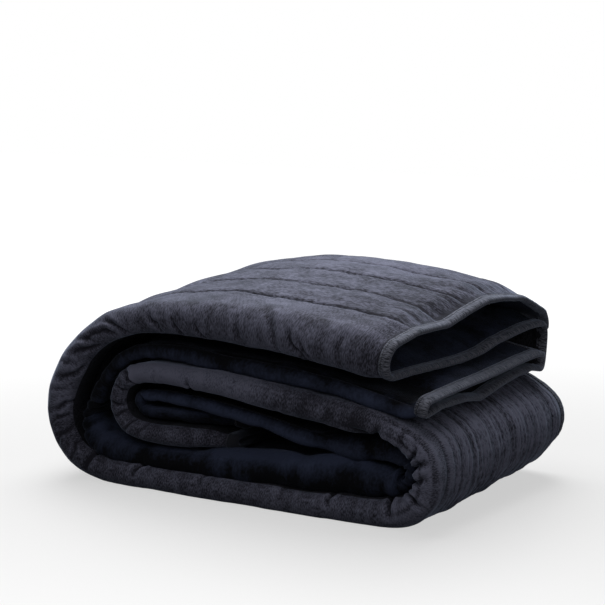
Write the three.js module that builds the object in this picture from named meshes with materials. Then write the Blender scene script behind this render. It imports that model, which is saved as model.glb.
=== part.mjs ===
// A channel-quilted comforter, folded in four along its length and then rolled up, as it lies on a table.
// Millimetres, +Z up. X runs along the coiled front, Y from that front to the back, and z = 0 is the table.
import * as THREE from "three";

// Driving dimensions
const FRONT = -226; // y of the outer pair's front fold
const BACK = 186; // y of the back turn, where the second layer becomes the third
const BACK_FLARE = 36; // how much further out that turn lies at the open end
const FLAP_EDGE = 200; // y of the outermost layer's free side edge
const FLAP_FLARE = 26; // how much further out that edge lies at the open end
const INNER_EDGE = 152; // y of the innermost layer's free side edge, inside the back turn
const INNER_FLARE = 20; // how much further out that edge lies at the open end
const RECESS = 20; // how far the inner pair's front fold stands behind the outer pair's
const INNER_SLOPE = 0.2; // how far that fold slopes back from its lower to its upper side, by its height
const LOFT = 18; // thickness of one filled layer where nothing presses on it
const PRESSED = 0.43; // the most of a pair's thickness that one of its layers takes up
const STITCH_DEPTH = 0.5; // share of a layer's thickness that is left along a sewn line
const BINDING_WIDTH = 16;
const BINDING_THICKNESS = 9;
const BINDING_ROUND = 4; // depth of the binding's rounded outer edge
const RIM_THICKNESS = 8; // the filled body where it meets the binding
const SEAM_GAP = 0.3; // between the body and its binding
const INNER_REACH = 58; // how far the inner pair's end lies beyond the outer pair's at the open end
const INNER_SKEW = 0.75; // share of that reach that is gone at the back
const END_SKEW = 26; // how much further the open end reaches at the back than at the front
const REACH_FADE = 260; // length of strip over which those two even out
const FLAP_DROOP = 0.9; // how far the free side edge sinks, in units of the space under it
const FLAP_HINGE = 89; // y where it starts to sink
const BACK_LIFT = 0.75; // how far the second layer rises to the first at the back, in the same units
const CROWN = 0.08; // rise of the top at its highest place
const CROWN_X = 76;
const CROWN_REACH_X = 420;
const CROWN_REACH_Y = 330;
const TOP_LIFT = 17; // how far the top layer stands off the layer under it, at its middle
const TOP_ROWS = [1.2, 4.6]; // rows of the roll between which that lift fades out
const TOP_LEAN = 0.72; // under 1, the lift is greatest behind the middle
const TOP_EDGE = 0.3; // share of the layer's width over which the lift sets in from the free edge
const CORNER_ROUND = 14; // how far the back corner of the open end is rounded off
const CORNER_Y = [176, 226]; // places between which that sets in
const TURN_LEAN = 15; // how far the back turn draws in from its upper to its lower side at the open end
const LEAN_STEPS = [29, 34.5]; // steps of the section over which that sets in
const LEAN_END = [46, 47]; // and over which it ends
const HEEL_LIFT = 21; // how far the right turn's underside rises towards the back
const HEEL_X = [120, 320]; // places between which that sets in
const HEEL_Z = [20, 140]; // heights between which it fades out
const WAVE_LENGTH = 120; // length of strip over which the open end's waves even out
const STEPS_PER_ROW = 1.2;

// The roll, from the open end at the top right round to the end inside. Each row is a place on the outermost
// layer's face: the thickness of the outer pair, of the space and of the inner pair, and how far the front fold
// stands back from the front.
const ROLL = [
  { x: 266, z: 252, outer: 60, space: 4, inner: 26, inset: 0 },
  { x: 126, z: 271, outer: 57, space: 4, inner: 32, inset: 0 },
  { x: -14, z: 281, outer: 57, space: 4, inner: 32, inset: 0 },
  { x: -126, z: 276, outer: 48, space: 3, inner: 28, inset: 0 },
  { x: -217, z: 250, outer: 39, space: 3, inner: 27, inset: 0 },
  { x: -283, z: 207, outer: 43, space: 4, inner: 31, inset: 0 },
  { x: -322, z: 153, outer: 46, space: 5, inner: 34, inset: 0 },
  { x: -334, z: 102, outer: 44, space: 5, inner: 34, inset: 0 },
  { x: -322, z: 56, outer: 42, space: 4, inner: 32, inset: 0 },
  { x: -286, z: 19, outer: 38, space: 4, inner: 30, inset: 2 },
  { x: -226, z: -1, outer: 36, space: 3, inner: 28, inset: 2 },
  { x: -124, z: -4, outer: 36, space: 3, inner: 27, inset: 0 },
  { x: 46, z: -4, outer: 36, space: 3, inner: 31, inset: 0 },
  { x: 176, z: -4, outer: 37, space: 4, inner: 42, inset: 0 },
  { x: 278, z: -1, outer: 42, space: 4, inner: 28, inset: 2 },
  { x: 321, z: 28, outer: 41, space: 3, inner: 19, inset: 4 },
  { x: 333, z: 73, outer: 36, space: 3, inner: 20, inset: 5 },
  { x: 319, z: 117, outer: 36, space: 3, inner: 20, inset: 6 },
  { x: 271, z: 145, outer: 30, space: 3, inner: 34, inset: 6 },
  { x: 206, z: 159, outer: 36, space: 3, inner: 40, inset: 6 },
  { x: 126, z: 170, outer: 41, space: 3, inner: 29, inset: 6 },
  { x: 26, z: 180, outer: 38, space: 3, inner: 20, inset: 6 },
  { x: -74, z: 185, outer: 32, space: 3, inner: 19, inset: 6 },
  { x: -162, z: 183, outer: 30, space: 3, inner: 17, inset: 6 },
  { x: -202, z: 162, outer: 28, space: 3, inner: 16, inset: 6 },
  { x: -214, z: 122, outer: 27, space: 3, inner: 16, inset: 6 },
  { x: -200, z: 86, outer: 28, space: 3, inner: 16, inset: 8 },
  { x: -164, z: 67, outer: 29, space: 3, inner: 17, inset: 10 },
  { x: -94, z: 65, outer: 30, space: 3, inner: 18, inset: 14 },
  { x: -60, z: 66, outer: 29, space: 3, inner: 19, inset: 22 },
  { x: -28, z: 66, outer: 25, space: 2, inner: 23, inset: 32 },
  { x: -8, z: 66, outer: 22, space: 2, inner: 24, inset: 42 },
];
const LAST_ROW = ROLL.length - 1;
const ROW_KEYS = ["outer", "space", "inner", "inset"];

// Waves of the four layers' ends at the open end: how far each one is lifted at a place across the strip.
const END_WAVES = [
  { y: -226, first: 4, second: 0, third: -9, fourth: -6 },
  { y: -190, first: 5, second: -1, third: -6, fourth: -3 },
  { y: -150, first: 7, second: -2, third: -3, fourth: -3 },
  { y: -75, first: -3, second: -6, third: -8, fourth: -4 },
  { y: -25, first: 4, second: -7, third: -17, fourth: -5 },
  { y: 22, first: 10, second: -4, third: -11, fourth: -4 },
  { y: 60, first: 8, second: 1, third: -7, fourth: -3 },
  { y: 100, first: 4, second: 1, third: -4, fourth: -1 },
  { y: 120, first: 5, second: 1, third: -4, fourth: -1 },
  { y: 150, first: 2, second: 1, third: -3, fourth: 0 },
  { y: 190, first: 0, second: 0, third: -10, fourth: -4 },
  { y: 226, first: -15, second: 0, third: -10, fourth: -4 },
];

// The folded strip's section, from the outermost layer's free edge inwards. Steps are counted two to a channel,
// and the odd steps of a flat leg are its sewn lines.
const LEGS = [
  { steps: 12, middle: firstLayer, sewn: true },
  { steps: 6, middle: outerFold, sewn: false },
  { steps: 11, middle: secondLayer, sewn: true },
  { steps: 6, middle: backTurn, sewn: false },
  { steps: 11, middle: thirdLayer, sewn: true },
  { steps: 5, middle: innerFold, sewn: false },
  { steps: 11, middle: fourthLayer, sewn: true },
];
const SECTION_STEPS = LEGS.reduce((sum, leg) => sum + leg.steps, 0);

const mix = THREE.MathUtils.lerp;
const path = new THREE.CatmullRomCurve3(
  ROLL.map((row) => new THREE.Vector3(row.x, 0, row.z)),
  false,
  "catmullrom",
);

function rowDistance(a, b) {
  return Math.hypot(ROLL[a].x - ROLL[b].x, ROLL[a].z - ROLL[b].z);
}

// Place on the roll at a row number that may lie between two rows.
function station(row) {
  const share = THREE.MathUtils.clamp(row / LAST_ROW, 0, 1);
  const at = path.getPoint(share);
  const along = path.getTangent(share);
  const low = Math.min(Math.floor(row), LAST_ROW - 1);
  const between = THREE.MathUtils.smoothstep(row - low, 0, 1);
  const sizes = ROW_KEYS.map((key) => mix(ROLL[low][key], ROLL[low + 1][key], between));
  const [outer, space, inner, inset] = sizes;
  const fromEnd = rowDistance(0, 1) * row;
  const open = Math.max(0, 1 - fromEnd / REACH_FADE);
  const waving = 1 - THREE.MathUtils.smoothstep(fromEnd, 0, WAVE_LENGTH);
  const onTop = 1 - THREE.MathUtils.smoothstep(row, ...TOP_ROWS);
  return { at, along, outer, space, inner, inset, open, waving, onTop };
}

// The four layers in the strip's section: y runs across the strip, and h inwards from its outer face.
function layersAt({ outer, space, inner, inset, open }) {
  const total = outer + space + inner;
  const thickOuter = Math.min(LOFT, PRESSED * outer);
  const thickInner = Math.min(LOFT, PRESSED * inner);
  const secondH = outer - thickOuter / 2;
  const thirdH = total - thickInner / 2;
  const backH = secondH - BACK_LIFT * (outer - 2 * thickOuter);
  const turnRadius = (thirdH - backH) / 2;
  return {
    thickOuter,
    thickInner,
    secondH,
    backH,
    thirdH,
    turnRadius,
    firstH: thickOuter / 2,
    fourthH: outer + space + thickInner / 2,
    outerFoldY: FRONT + inset + outer / 2,
    outerFoldH: outer / 2,
    outerFoldRadius: (outer - thickOuter) / 2,
    innerFoldY: FRONT + inset + RECESS + inner / 2,
    innerFoldH: total - inner / 2,
    innerFoldRadius: (inner - thickInner) / 2,
    slope: INNER_SLOPE * inner,
    turnY: BACK + BACK_FLARE * open - turnRadius - thickOuter / 2,
    turnH: (backH + thirdH) / 2,
  };
}

// Half a turn of a layer's middle about a centre, with its direction.
function halfTurn(share, centreY, centreH, radius, startAngle, sense) {
  const angle = startAngle + sense * Math.PI * share;
  const y = centreY + radius * Math.cos(angle);
  const h = centreH + radius * Math.sin(angle);
  return { y, h, alongY: -sense * Math.sin(angle), alongH: sense * Math.cos(angle) };
}

function straight(share, fromY, toY, h) {
  return { y: mix(fromY, toY, share), h, alongY: Math.sign(toY - fromY), alongH: 0 };
}

// A layer's middle on each leg of the section. Reach is 1 where the leg goes with the inner pair at the open end.
function firstLayer(share, place, layers) {
  const edgeY = FLAP_EDGE + FLAP_FLARE * place.open;
  const flat = straight(share, edgeY, layers.outerFoldY, layers.firstH);
  const sunk = Math.max(0, (flat.y - FLAP_HINGE) / (edgeY - FLAP_HINGE));
  const drop = FLAP_DROOP * (place.outer - 2 * layers.thickOuter) * sunk ** 3;
  const arch = Math.sin(Math.PI * share ** TOP_LEAN) * THREE.MathUtils.smoothstep(share, 0, TOP_EDGE);
  const lift = TOP_LIFT * place.onTop * arch;
  const top = { ...flat, h: flat.h + drop - lift, thick: layers.thickOuter, reach: 0 };
  return waved(top, place, share, "first", "first");
}

function outerFold(share, place, layers) {
  const { outerFoldY, outerFoldH, outerFoldRadius } = layers;
  const turned = halfTurn(share, outerFoldY, outerFoldH, outerFoldRadius, -Math.PI / 2, -1);
  return waved({ ...turned, thick: layers.thickOuter, reach: 0 }, place, share, "first", "second");
}

function secondLayer(share, place, layers) {
  const flat = straight(share, layers.outerFoldY, layers.turnY, layers.secondH);
  const risen = mix(layers.secondH, layers.backH, THREE.MathUtils.smoothstep(flat.y, 0, layers.turnY));
  return waved({ ...flat, h: risen, thick: layers.thickOuter, reach: 0 }, place, share, "second", "second");
}

function backTurn(share, place, layers) {
  const turned = halfTurn(share, layers.turnY, layers.turnH, layers.turnRadius, -Math.PI / 2, 1);
  const thick = mix(layers.thickOuter, layers.thickInner, share);
  const reach = THREE.MathUtils.smoothstep(share, 0, 1);
  return waved({ ...turned, thick, reach }, place, share, "second", "third");
}

function thirdLayer(share, place, layers) {
  const flat = straight(share, layers.turnY, layers.innerFoldY, layers.thirdH);
  return waved({ ...flat, thick: layers.thickInner, reach: 1 }, place, share, "third", "third");
}

function innerFold(share, place, layers) {
  const { innerFoldY, innerFoldH, innerFoldRadius, slope } = layers;
  const turned = halfTurn(share, innerFoldY, innerFoldH, innerFoldRadius, Math.PI / 2, 1);
  const along = new THREE.Vector2(turned.alongY, turned.alongH).multiplyScalar(Math.PI * innerFoldRadius);
  along.x += 2 * slope * share;
  along.normalize();
  const sloped = { y: turned.y + slope * share ** 2, h: turned.h, alongY: along.x, alongH: along.y };
  return waved({ ...sloped, thick: layers.thickInner, reach: 1 }, place, share, "third", "fourth");
}

function fourthLayer(share, place, layers) {
  const edgeY = INNER_EDGE + INNER_FLARE * place.open;
  const fromY = layers.innerFoldY + layers.slope;
  const flat = straight(share, fromY, edgeY, layers.fourthH);
  return waved({ ...flat, thick: layers.thickInner, reach: 1 }, place, share, "fourth", "fourth");
}

function endWave(layer, y) {
  const next = END_WAVES.findIndex((row) => row.y >= y);
  if (next < 1) return END_WAVES.at(next)[layer];
  const low = END_WAVES[next - 1];
  const high = END_WAVES[next];
  return mix(low[layer], high[layer], (y - low.y) / (high.y - low.y));
}

// A leg with its end waved at the open end. A turn goes over from one layer's wave to the next one's.
function waved(middle, place, share, from, to) {
  const lift = mix(endWave(from, middle.y), endWave(to, middle.y), share);
  return { ...middle, h: middle.h - lift * place.waving };
}

function layerMiddle(step, place) {
  let left = step;
  let index = 0;
  while (index < LEGS.length - 1 && left > LEGS[index].steps) {
    left -= LEGS[index].steps;
    index += 1;
  }
  const leg = LEGS[index];
  const middle = leg.middle(left / leg.steps, place, layersAt(place));
  const puff = leg.sewn ? mix(STITCH_DEPTH, 1, Math.abs(Math.cos((left * Math.PI) / 2))) : 1;
  return { ...middle, thickness: middle.thick * puff };
}

// A point of the folded and rolled sheet: side is 1 on its face and -1 on its reverse.
function sheetPoint(row, step, side, thickness) {
  const place = station(row);
  const middle = layerMiddle(step, place);
  const half = ((thickness ?? middle.thickness) / 2) * side;
  const y = middle.y - middle.alongH * half;
  const h = middle.h + middle.alongY * half;
  const { at, along } = place;
  const toBack = (y - FRONT) / (BACK - FRONT);
  const reach = INNER_REACH * middle.reach * (1 - INNER_SKEW * toBack);
  const corner = CORNER_ROUND * THREE.MathUtils.clamp(THREE.MathUtils.inverseLerp(...CORNER_Y, y), 0, 1) ** 2;
  const shift = (reach + END_SKEW * toBack - corner) * place.open;
  const x = at.x - along.z * h - along.x * shift;
  const z = at.z + along.x * h - along.z * shift;
  const swell = 1 - ((x - CROWN_X) / CROWN_REACH_X) ** 2;
  const rise = Math.sin((Math.PI / 2) * ((y - FRONT) / CROWN_REACH_Y));
  const crowned = z * (1 + CROWN * swell * rise);
  const sides = THREE.MathUtils.smoothstep(x, ...HEEL_X) * (1 - THREE.MathUtils.smoothstep(crowned, ...HEEL_Z));
  const heel = HEEL_LIFT * toBack * sides;
  const below = THREE.MathUtils.smoothstep(step, ...LEAN_STEPS);
  const lower = below * (1 - THREE.MathUtils.smoothstep(step, ...LEAN_END));
  const lean = TURN_LEAN * lower * place.open * THREE.MathUtils.clamp(toBack, 0, 1) ** 2;
  return new THREE.Vector3(x, y - lean, Math.max(0, crowned + heel));
}

function closedMesh(name, points, faces, material) {
  const geometry = new THREE.BufferGeometry();
  const values = points.flatMap((point) => point.toArray());
  geometry.setAttribute("position", new THREE.Float32BufferAttribute(values, 3));
  geometry.setIndex(faces);
  geometry.computeVertexNormals();
  const mesh = new THREE.Mesh(geometry, material);
  mesh.name = name;
  return mesh;
}

// Width of the binding in rows of the roll and in steps of the section, at each edge.
function edgeShares(width) {
  const firstStep = (FLAP_EDGE - FRONT) / LEGS[0].steps;
  const lastStep = (INNER_EDGE - FRONT) / LEGS.at(-1).steps;
  return {
    openEnd: width / rowDistance(0, 1),
    insideEnd: LAST_ROW - width / rowDistance(LAST_ROW - 1, LAST_ROW),
    outerSide: width / firstStep,
    innerSide: SECTION_STEPS - width / lastStep,
  };
}

function inclusive(from, to, count) {
  return Array.from({ length: count + 1 }, (_, i) => mix(from, to, i / count));
}

const innerRows = inclusive(0, LAST_ROW, Math.round(LAST_ROW * STEPS_PER_ROW)).slice(1, -1);
const innerSteps = inclusive(0, SECTION_STEPS, SECTION_STEPS).slice(1, -1);

// The filled body: a face and a reverse, closed by a thin rim all round.
function quiltedBody() {
  const edge = edgeShares(BINDING_WIDTH + SEAM_GAP);
  const rows = [edge.openEnd, ...innerRows, edge.insideEnd];
  const steps = [edge.outerSide, ...innerSteps, edge.innerSide];
  const points = [];
  const onRim = (i, list) => i === 0 || i === list.length - 1;
  for (const side of [1, -1])
    rows.forEach((row, i) =>
      steps.forEach((step, j) => {
        const rim = onRim(i, rows) || onRim(j, steps);
        points.push(sheetPoint(row, step, side, rim ? RIM_THICKNESS : undefined));
      }),
    );

  const at = (i, j, reverse) => (reverse * rows.length + i) * steps.length + j;
  const faces = [];
  const quad = (a, b, c, d) => faces.push(c, b, a, d, c, a);
  for (let i = 0; i < rows.length - 1; i++)
    for (let j = 0; j < steps.length - 1; j++) {
      quad(at(i, j, 0), at(i, j + 1, 0), at(i + 1, j + 1, 0), at(i + 1, j, 0));
      quad(at(i, j, 1), at(i + 1, j, 1), at(i + 1, j + 1, 1), at(i, j + 1, 1));
    }
  const lastI = rows.length - 1;
  const lastJ = steps.length - 1;
  for (let i = 0; i < lastI; i++) {
    quad(at(i, 0, 0), at(i + 1, 0, 0), at(i + 1, 0, 1), at(i, 0, 1));
    quad(at(i, lastJ, 0), at(i, lastJ, 1), at(i + 1, lastJ, 1), at(i + 1, lastJ, 0));
  }
  for (let j = 0; j < lastJ; j++) {
    quad(at(0, j, 0), at(0, j, 1), at(0, j + 1, 1), at(0, j + 1, 0));
    quad(at(lastI, j, 0), at(lastI, j + 1, 0), at(lastI, j + 1, 1), at(lastI, j, 1));
  }
  const velvet = new THREE.MeshStandardMaterial({ color: "#3a3d49", roughness: 0.9, metalness: 0 });
  return closedMesh("quilted_body", points, faces, velvet);
}

// The binding: one strip round all four edges, with a rounded outer edge.
function edgeBinding() {
  const inner = edgeShares(BINDING_WIDTH);
  const shoulder = edgeShares(BINDING_ROUND);
  const sides = [
    ...[0, ...innerRows].map((row) => [row, 0]),
    ...[0, ...innerSteps].map((step) => [LAST_ROW, step]),
    ...[LAST_ROW, ...innerRows.toReversed()].map((row) => [row, SECTION_STEPS]),
    ...[SECTION_STEPS, ...innerSteps.toReversed()].map((step) => [0, step]),
  ];
  const clampTo = (edge, row, step) => [
    THREE.MathUtils.clamp(row, edge.openEnd, edge.insideEnd),
    THREE.MathUtils.clamp(step, edge.outerSide, edge.innerSide),
  ];
  const section = ([row, step]) => {
    const within = clampTo(inner, row, step);
    const near = clampTo(shoulder, row, step);
    return [
      sheetPoint(...within, 1, BINDING_THICKNESS),
      sheetPoint(...near, 1, BINDING_THICKNESS),
      sheetPoint(row, step, 1, 0),
      sheetPoint(...near, -1, BINDING_THICKNESS),
      sheetPoint(...within, -1, BINDING_THICKNESS),
    ];
  };
  const sections = sides.map(section);
  const size = sections[0].length;
  const faces = [];
  sections.forEach((_, i) => {
    const next = (i + 1) % sections.length;
    for (let k = 0; k < size; k++) {
      const after = (k + 1) % size;
      const [a, b, c, d] = [i * size + k, i * size + after, next * size + after, next * size + k];
      faces.push(a, b, c, a, c, d);
    }
  });
  const tape = new THREE.MeshStandardMaterial({ color: "#4a4b54", roughness: 0.9, metalness: 0 });
  return closedMesh("edge_binding", sections.flat(), faces, tape);
}

const comforter = new THREE.Group();
comforter.add(quiltedBody(), edgeBinding());

export default comforter;
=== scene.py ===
"""Dresses a rolled comforter: velvet face, plush reverse, stitched binding and a pale studio."""

import math

import bpy
import numpy as np
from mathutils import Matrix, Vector


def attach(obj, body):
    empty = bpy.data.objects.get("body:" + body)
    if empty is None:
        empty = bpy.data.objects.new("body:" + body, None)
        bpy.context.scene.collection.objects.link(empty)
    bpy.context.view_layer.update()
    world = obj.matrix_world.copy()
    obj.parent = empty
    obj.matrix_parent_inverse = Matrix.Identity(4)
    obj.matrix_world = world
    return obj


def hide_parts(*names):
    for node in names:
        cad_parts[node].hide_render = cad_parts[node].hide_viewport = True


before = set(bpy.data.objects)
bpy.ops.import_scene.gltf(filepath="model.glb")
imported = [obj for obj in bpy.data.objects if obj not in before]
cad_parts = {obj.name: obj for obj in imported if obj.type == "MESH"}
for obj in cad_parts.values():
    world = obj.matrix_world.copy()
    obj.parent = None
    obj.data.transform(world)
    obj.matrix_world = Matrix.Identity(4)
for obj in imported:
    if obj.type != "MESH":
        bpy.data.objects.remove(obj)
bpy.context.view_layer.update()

bl_info = {
    "name": "Rolled comforter",
    "version": (1, 0, 0),
    "blender": (4, 5, 0),
    "location": "3D View > Sidebar > Comforter",
    "description": "Builds the panels, binding and stitching of a rolled comforter, and its studio",
    "category": "Object",
}

MM = 0.001

# The folded sheet in millimetres. The solids have the same sizes, but for END_SKEW, which is 26 there
FRONT = -226  # y of the outer pair's front fold
BACK = 186  # y of the back turn, where the second layer becomes the third
FLAP_EDGE = 200  # y of the outermost layer's free side edge
FLAP_FLARE = 26  # how much further out that edge lies at the open end
INNER_EDGE = 152  # y of the innermost layer's free side edge
INNER_FLARE = 20  # how much further out that edge lies at the open end
RECESS = 20  # how far the inner pair's front fold stands behind the outer pair's
INNER_SLOPE = 0.2  # how far that fold slopes back from its lower to its upper side, by its height
PRESSED = 0.43  # the most of a pair's thickness that one of its layers takes up
INNER_REACH = 58  # how far the inner pair's end lies beyond the outer pair's
END_SKEW = 33  # how much further the open end reaches at the back than at the front
REACH_FADE = 260  # length of strip over which those two even out
FLAP_DROOP = 0.9  # how far the free side edge sinks, in units of the space under it
FLAP_HINGE = 89  # y where it starts to sink
BACK_LIFT = 0.75  # how far the second layer rises to the first at the back, in the same units
CROWN = 0.08  # rise of the top at its highest place
CROWN_X = 76  # x of that place
CROWN_REACH_X = 420  # how far from it, to the left or right, the rise ends
CROWN_REACH_Y = 330  # how far behind the front it is full
TOP_LIFT = 17  # how far the top layer stands off the layer under it
TOP_ROWS = (1.2, 4.6)  # rows of the roll between which that lift fades out
TOP_LEAN = 0.72  # under 1, the lift is greatest behind the middle
TOP_EDGE = 0.3  # share of the layer's width over which the lift sets in from the free edge
INNER_SKEW = 0.75  # share of the inner pair's reach that is gone at the back
BACK_FLARE = 36  # how much further out the back turn lies at the open end
CORNER_ROUND = 14  # how far the back corner of the open end is rounded off
CORNER_Y = (176, 226)  # places between which that rounding sets in
TURN_LEAN = 15  # how far the back turn draws in from its upper to its lower side at the open end
LEAN_STEPS = (29, 34.5)  # steps of the section between which that sets in
LEAN_END = (46, 47)  # and between which it ends
HEEL_LIFT = 21  # how far the right turn's underside rises towards the back
HEEL_X = (120, 320)  # places between which that rise sets in
HEEL_Z = (20, 140)  # heights between which it fades out
WAVE_LENGTH = 120  # length of strip over which the open end's waves even out

# Waves of the four layers' ends at the open end: y, and how far each layer is lifted there
END_WAVES = np.array(
    [
        (-226, 4, 0, -9, -6),
        (-190, 5, -1, -6, -3),
        (-150, 7, -2, -3, -3),
        (-75, -3, -6, -8, -4),
        (-25, 4, -7, -17, -5),
        (22, 10, -4, -11, -4),
        (60, 8, 1, -7, -3),
        (100, 4, 1, -4, -1),
        (120, 5, 1, -4, -1),
        (150, 2, 1, -3, 0),
        (190, 0, 0, -10, -4),
        (226, -15, 0, -10, -4),
    ],
    float,
)

# The roll from the open end round to the end inside: a place on the outermost layer's face, the thickness
# of the outer pair, of the space and of the inner pair, and how far the front fold stands back
ROLL_COLUMNS = ("x", "z", "outer", "space", "inner", "inset")
ROLL = np.array(
    [
        (266, 252, 60, 4, 26, 0),
        (126, 271, 57, 4, 32, 0),
        (-14, 281, 57, 4, 32, 0),
        (-126, 276, 48, 3, 28, 0),
        (-217, 250, 39, 3, 27, 0),
        (-283, 207, 43, 4, 31, 0),
        (-322, 153, 46, 5, 34, 0),
        (-334, 102, 44, 5, 34, 0),
        (-322, 56, 42, 4, 32, 0),
        (-286, 19, 38, 4, 30, 2),
        (-226, -1, 36, 3, 28, 2),
        (-124, -4, 36, 3, 27, 0),
        (46, -4, 36, 3, 31, 0),
        (176, -4, 37, 4, 42, 0),
        (278, -1, 42, 4, 28, 2),
        (321, 28, 41, 3, 19, 4),
        (333, 73, 36, 3, 20, 5),
        (319, 117, 36, 3, 20, 6),
        (271, 145, 30, 3, 34, 6),
        (206, 159, 36, 3, 40, 6),
        (126, 170, 41, 3, 29, 6),
        (26, 180, 38, 3, 20, 6),
        (-74, 185, 32, 3, 19, 6),
        (-162, 183, 30, 3, 17, 6),
        (-202, 162, 28, 3, 16, 6),
        (-214, 122, 27, 3, 16, 6),
        (-200, 86, 28, 3, 16, 8),
        (-164, 67, 29, 3, 17, 10),
        (-94, 65, 30, 3, 18, 14),
        (-60, 66, 29, 3, 19, 22),
        (-28, 66, 25, 2, 23, 32),
        (-8, 66, 22, 2, 24, 42),
    ],
    float,
)
LAST_ROW = len(ROLL) - 1

# Steps of the section at which each of its legs ends, and the flat width of cloth in that leg
LEG_ENDS = np.array([0, 12, 18, 29, 35, 46, 51, 62], float)
LEG_WIDTHS = np.array([408, 75, 380, 70, 375, 45, 365], float)
FLAT_ACROSS = np.concatenate([[0], np.cumsum(LEG_WIDTHS)])

# Steps of the section that are sewn through, with the two bound edges
SEWN_STEPS = np.array(
    [0, 1.1, 3.0, 4.9, 6.8, 8.7, 10.6, 19.2, 21.2, 23.2, 25.2, 27.2]
    + [36.5, 38.5, 40.5, 42.5, 44.5, 52.8, 54.6, 56.5, 58.4, 60.3, 62],
    float,
)

# Cuts of the two cloths: how far apart their points lie along the strip, in millimetres, and across it, as
# from step, to step and gap in steps
TOP_CUT = 6, [(0, 10.6, 0.062)]
FRONT_CUT = 2.6, [(10.6, 12, 0.1), (12, 17.8, 0.22)]
HIDDEN_CUT = 6, [(17.8, 21.2, 0.15), (21.2, 29, 0.9), (29, 35, 1.5), (35, 62, 1.2)]
PLUSH_CUT = 4.2, [
    (0, 12, 0.6),
    (12, 18, 1.0),
    (18, 29, 0.35),
    (29, 35, 0.5),
    (35, 43, 0.6),
    (43, 46, 0.25),
    (46, 51, 0.3),
    (51, 54, 0.25),
    (54, 62, 0.45),
]
GROOVE_OFFSETS = (-3.0, -1.2, 0, 1.2, 3.0)  # extra points beside a sewn line, in millimetres
PANEL_RIM = 6.0  # how far inside the sheet's edge the cuts end, under the binding, in millimetres
LEAST_GAP = 0.02  # least gap between two points across a cut, in steps
LAST_GAP = 0.04  # and at its two sides

# How slack the quilting is along the roll: row, depth of its channels, height of the ridges by its sewn lines
TAUTNESS = np.array(
    [
        (0, 0.3, 0.5),
        (4, 0.45, 0.5),
        (7, 0.35, 0.2),
        (13, 0.07, 0.5),
        (14.5, 0.04, 0.9),
        (18, 0.04, 0.9),
        (19.5, 0.4, 0.3),
    ]
)
FULL_TAUT = 1.2  # height of the ridges at which a sewn line would pull no groove

# How far the face swells out inside its bound edge, along the roll: row, share of the full swelling
FACE_SWELL = np.array(
    [(0, 1), (0.8, 1), (2.6, 0.2), (4.3, 0.85), (5.4, 0.4), (7, 0.1), (8.2, 0.4), (9.2, 0.8), (10.4, 0)]
)

# Painted shade and light of the two piles along the roll: row, how much darker they are painted. Under 0 they
# are painted lighter
VELVET_PAINTED_SHADE = np.array(
    [
        (0, 0.15),
        (1.5, -0.03),
        (2.1, 0.14),
        (3, 0.12),
        (4.5, 0.12),
        (6.5, -0.14),
        (8, 0.26),
        (9.5, 0.4),
        (10.6, 0.08),
        (12.5, 0.06),
        (17, -0.13),
        (19, 0.3),
        (20, 0.34),
        (21, -0.28),
        (22.5, -0.6),
        (23.35, -0.65),
        (23.7, 0.25),
        (25.2, 0.2),
        (27, 0.26),
        (31, 0.34),
    ]
)
PLUSH_PAINTED_SHADE = np.array(
    [
        (0, -0.12),
        (1, -0.05),
        (2, 0.38),
        (4, 0.42),
        (5, 0.9),
        (8, 0.85),
        (9, 0.3),
        (10, 0.05),
        (13.5, 0.06),
        (15, 0.2),
        (18, 0.2),
        (19.5, 0),
        (23, 0),
        (26, 0.4),
    ]
)

# How far the inner fold's hidden side sinks in behind its other side: row, share of the full drop
FOLD_DROP = np.array(
    [(0, 1), (5, 1), (8, 0), (9.5, -0.9), (13, -0.9), (14.5, 0), (18.5, 0), (20, 1), (23, 1), (25, 0)]
)

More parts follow.
